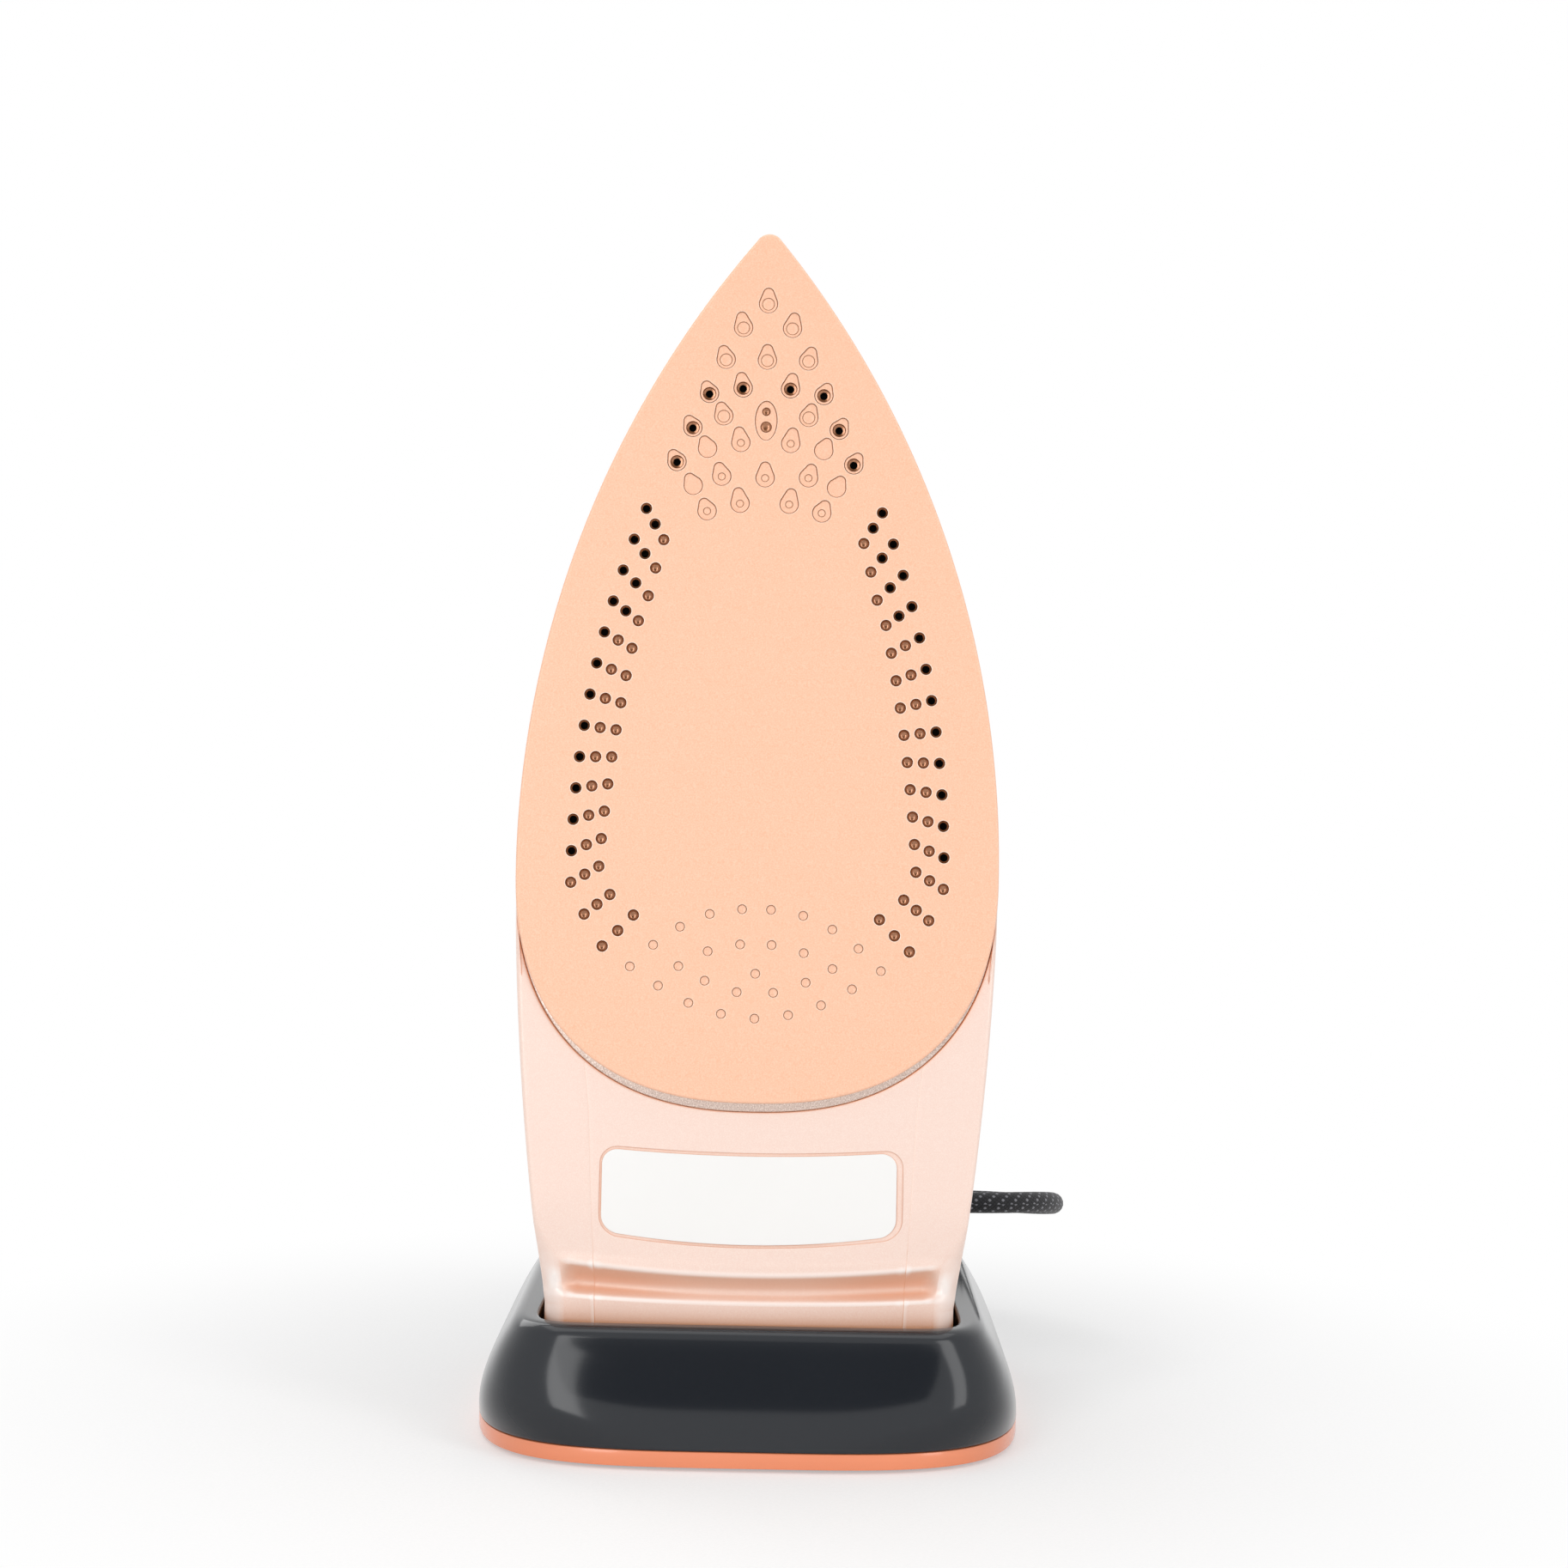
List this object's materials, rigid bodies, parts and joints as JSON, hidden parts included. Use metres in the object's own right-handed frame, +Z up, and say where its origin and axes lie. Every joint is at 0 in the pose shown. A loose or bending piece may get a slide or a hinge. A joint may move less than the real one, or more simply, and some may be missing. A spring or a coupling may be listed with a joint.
{
  "type": "clothes iron",
  "caption": "Cordless steam iron standing tip up on its charging dock, with a ceramic soleplate, water tank, loop handle, sprung buttons, dial, and a braided mains cord with plug.",
  "frame": {"origin": "on the table, under the middle of the iron and its dock without the cord", "axes": "+Z up, -Y out of the soleplate towards the viewer, +X to the side where the cord leaves the dock"},
  "size_m": [0.1575, 0.2848, 0.2966],
  "materials": {
    "charcoal_gloss": "glossy moulded plastic with soft reflections",
    "charcoal_matt": "fine matt moulded plastic",
    "coral_band": "glossy coral plastic",
    "pearl_pink": "pearl rose-gold moulded plastic, satin gloss",
    "sole_coating": "smooth ceramic coating with a very fine speckle",
    "cast_alloy": "bare die-cast aluminium, finely ground at the lip",
    "plain_steel": "plain bright steel",
    "contact_brass": "bright turned brass",
    "white_plate": "smooth white foil plate, bare",
    "pump_white": "natural white moulded plastic",
    "soft_rubber": "matt black rubber",
    "braid": "dark braided textile with light flecks",
    "smoke_clear": "translucent smoke-grey plastic",
    "lamp_red": "clear red lens",
    "board_green": "green circuit board"
  },
  "bodies": {
    "dock": {"dock_shell": "charcoal_gloss", "dock_band": "coral_band", "dock_base_plate": "charcoal_matt", "dock_feet": "soft_rubber", "dock_screws": "plain_steel", "contact_block": "charcoal_matt", "dock_contacts": "contact_brass", "cord_module": "charcoal_gloss", "terminal_block": "pump_white", "strain_relief": "soft_rubber", "cord_lead": "braid", "cord_coil": "braid", "cord_tie": "soft_rubber", "plug_body": "charcoal_matt", "plug_pins": "contact_brass"},
    "release_button": {"module_button": "pearl_pink"},
    "iron": {"soleplate": "sole_coating", "heater_casting": "cast_alloy", "chamber_cover": "cast_alloy", "cover_screws": "plain_steel", "heating_element": "plain_steel", "thermal_fuse": "plain_steel", "thermostat": "plain_steel", "heat_shield": "plain_steel", "shield_screws": "plain_steel", "skirt": "pearl_pink", "label_plate": "white_plate", "rear_housing": "charcoal_gloss", "iron_contacts": "contact_brass", "contact_carrier": "charcoal_matt", "water_tank": "smoke_clear", "tank_seal": "soft_rubber", "tank_cover": "charcoal_gloss", "door_pin": "plain_steel", "valve_seat": "contact_brass", "head_shell": "charcoal_gloss", "pump_bracket": "charcoal_matt", "spray_pump": "pump_white", "burst_pump": "pump_white", "spray_nozzle": "contact_brass", "spray_tube": "smoke_clear", "handle_base": "charcoal_gloss", "handle_cover": "charcoal_gloss", "grip_pad": "soft_rubber", "handle_screws": "plain_steel", "indicator_lens": "lamp_red", "lamp_board": "board_green"},
    "dial": {"temperature_dial": "charcoal_gloss", "dial_shaft": "plain_steel"},
    "filler_door": {"fill_door": "charcoal_gloss"},
    "needle": {"valve_needle": "plain_steel"},
    "slider": {"steam_slider": "pearl_pink"},
    "spray_key": {"spray_button": "pearl_pink"},
    "burst_key": {"burst_button": "pearl_pink"}
  },
  "joints": [
    {"name": "iron_lift", "type": "slide", "parent": "dock", "child": "iron", "axis": [0, 0.0872, 0.9962], "range_m": [0, 0.06]},
    {"name": "temperature_turn", "type": "hinge", "parent": "iron", "child": "dial", "pos_m": [0, 0.00674, 0.12452], "axis": [0, 0.9962, -0.0872], "range_deg": [0, 270]},
    {"name": "filler_door_hinge", "type": "hinge", "parent": "iron", "child": "filler_door", "pos_m": [0, 0.0041, 0.23768], "axis": [-1, 0, 0], "range_deg": [0, 100]},
    {"name": "steam_slide", "type": "slide", "parent": "iron", "child": "slider", "axis": [1, 0, 0], "range_m": [0, 0.012]},
    {"name": "steam_valve", "type": "slide", "parent": "iron", "child": "needle", "axis": [0, 0.9962, -0.0872], "range_m": [0, 0.002]},
    {"name": "spray_press", "type": "slide", "parent": "iron", "child": "spray_key", "axis": [0, -0.9962, 0.0872], "range_m": [0, 0.004], "stiffness_N_per_m": 600},
    {"name": "burst_press", "type": "slide", "parent": "iron", "child": "burst_key", "axis": [0, -0.9962, 0.0872], "range_m": [0, 0.004], "stiffness_N_per_m": 600},
    {"name": "release_press", "type": "slide", "parent": "dock", "child": "release_button", "axis": [0, 0, -1], "range_m": [0, 0.0015], "stiffness_N_per_m": 800}
  ],
  "couplings": [
    {"joint": "steam_valve", "follows": "steam_slide", "ratio": 0.1666}
  ]
}
